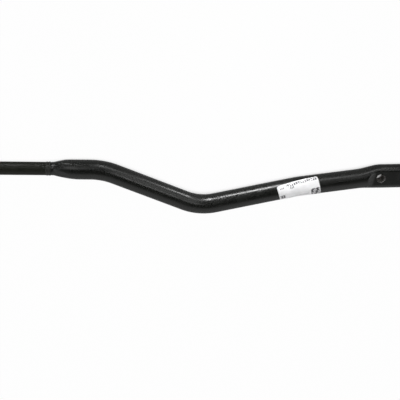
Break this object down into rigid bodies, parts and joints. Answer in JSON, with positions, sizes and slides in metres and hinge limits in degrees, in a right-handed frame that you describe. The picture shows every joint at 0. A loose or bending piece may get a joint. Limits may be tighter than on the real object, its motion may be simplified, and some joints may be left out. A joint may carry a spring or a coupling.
{
  "type": "thrust rod",
  "caption": "Bent round tube rod with a thinner round bar welded into its swaged neck at one end and a pressed flat end with a cross hole at the other.",
  "frame": {"origin": "centre of the cross hole in the flat end, half way between the two pressed faces, on the tube's axis", "axes": "+X along the bar's axis, from the bar towards the flat end; +Z along the cross hole, up when the rod lies on its side; the bends lie in the XY plane, with the middle of the rod towards -Y"},
  "size_m": [0.6067, 0.0769, 0.0272],
  "materials": {
    "tube_paint": "satin black paint",
    "bar_paint": "satin black paint",
    "weld_paint": "black paint over a weld",
    "label_paper": "matt white paper sticker with plain printed bars"
  },
  "bodies": {
    "root": {"main_tube": "tube_paint", "end_bar": "bar_paint", "neck_weld": "weld_paint", "paper_label": "label_paper"}
  },
  "joints": []
}
